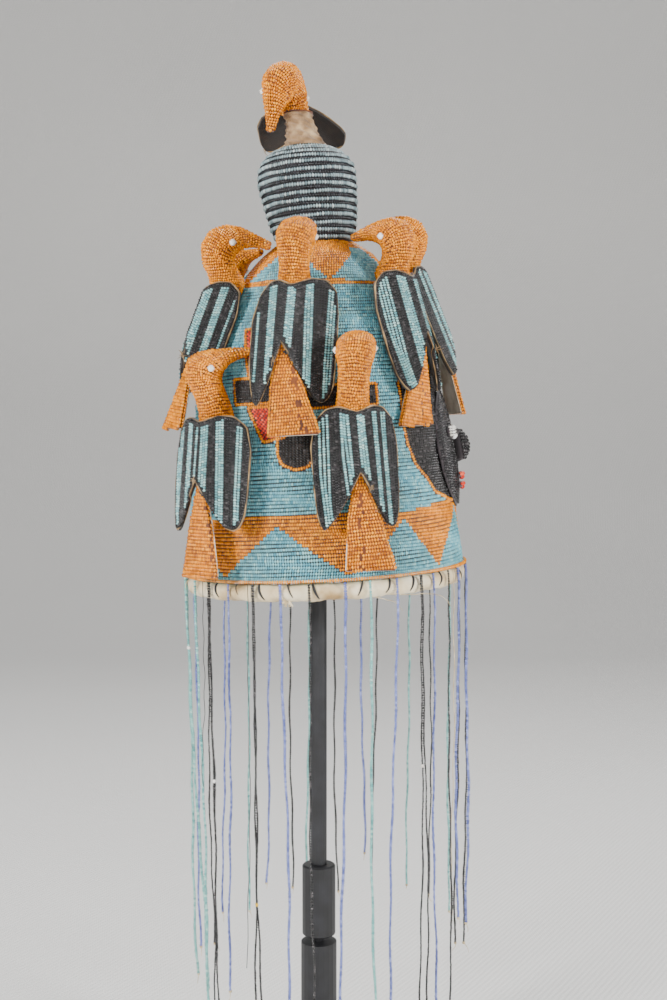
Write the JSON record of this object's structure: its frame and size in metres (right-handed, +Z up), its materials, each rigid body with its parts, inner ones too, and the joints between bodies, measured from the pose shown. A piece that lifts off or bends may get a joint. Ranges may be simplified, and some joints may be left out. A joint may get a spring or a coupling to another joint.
{
  "type": "beaded crown on a display stand",
  "caption": "Conical cloth crown covered in glass beads, with a striped knob, beaded birds, a raised face, a padded rim and a veil of bead strings, on a round-based post.",
  "frame": {"origin": "centre of the stand's underside, on the floor, on the axis of its post", "axes": "+Z up along the post; -Y is the front that faces the camera in the picture; +X to the viewer's right, where the raised face is"},
  "size_m": [0.2431, 0.2603, 0.8321],
  "materials": {
    "sky_blue_beads": "small opaque glass seed beads in stitched rows, satin",
    "orange_beads": "small opaque glass seed beads in stitched rows, satin",
    "striped_wing_beads": "stripes of black and pale turquoise seed beads, glossy",
    "pale_striped_beads": "rows of pale grey-blue seed beads between dark ones, satin",
    "black_beads": "black seed beads, glossy",
    "white_beads": "white beads, glossy",
    "red_beads": "coral red seed beads, satin",
    "periwinkle_beads": "strung seed beads in periwinkle, turquoise and black, glossy",
    "cream_cotton": "plain woven cotton, unbleached, padded",
    "brown_cotton": "worn brown cotton wrapping",
    "black_painted_steel": "satin black paint"
  },
  "bodies": {
    "root": {"crown_shell": "sky_blue_beads", "rim_roll": "cream_cotton", "finial": "pale_striped_beads", "fringe": "periwinkle_beads", "bird_upper_left_body": "orange_beads", "bird_upper_left_wings": "striped_wing_beads", "bird_upper_left_tail": "orange_beads", "bird_upper_front_body": "orange_beads", "bird_upper_front_wings": "striped_wing_beads", "bird_upper_front_tail": "orange_beads", "bird_upper_right_body": "orange_beads", "bird_upper_right_wings": "striped_wing_beads", "bird_upper_right_tail": "orange_beads", "bird_upper_far_right_body": "orange_beads", "bird_upper_far_right_wings": "striped_wing_beads", "bird_upper_far_right_tail": "orange_beads", "bird_upper_back_body": "orange_beads", "bird_upper_back_wings": "striped_wing_beads", "bird_upper_back_tail": "orange_beads", "bird_upper_far_left_body": "orange_beads", "bird_upper_far_left_wings": "striped_wing_beads", "bird_upper_far_left_tail": "orange_beads", "bird_lower_left_body": "orange_beads", "bird_lower_left_wings": "striped_wing_beads", "bird_lower_left_tail": "orange_beads", "bird_lower_front_body": "orange_beads", "bird_lower_front_wings": "striped_wing_beads", "bird_lower_front_tail": "orange_beads", "bird_lower_back_right_body": "orange_beads", "bird_lower_back_right_wings": "striped_wing_beads", "bird_lower_back_right_tail": "orange_beads", "bird_lower_back_left_body": "orange_beads", "bird_lower_back_left_wings": "striped_wing_beads", "bird_lower_back_left_tail": "orange_beads", "bird_top_body": "orange_beads", "bird_top_wings": "striped_wing_beads", "bird_top_tail": "orange_beads", "bird_top_stalk": "brown_cotton", "face_pad": "black_beads", "face_nose": "black_beads", "face_eye_left": "white_beads", "face_eye_right": "white_beads", "face_lip_upper": "red_beads", "face_lip_lower": "red_beads", "stand_base": "black_painted_steel", "stand_tube": "black_painted_steel", "stand_pin": "black_painted_steel", "stand_collar": "black_painted_steel", "stand_rod": "black_painted_steel", "stand_head": "black_painted_steel"}
  },
  "joints": []
}
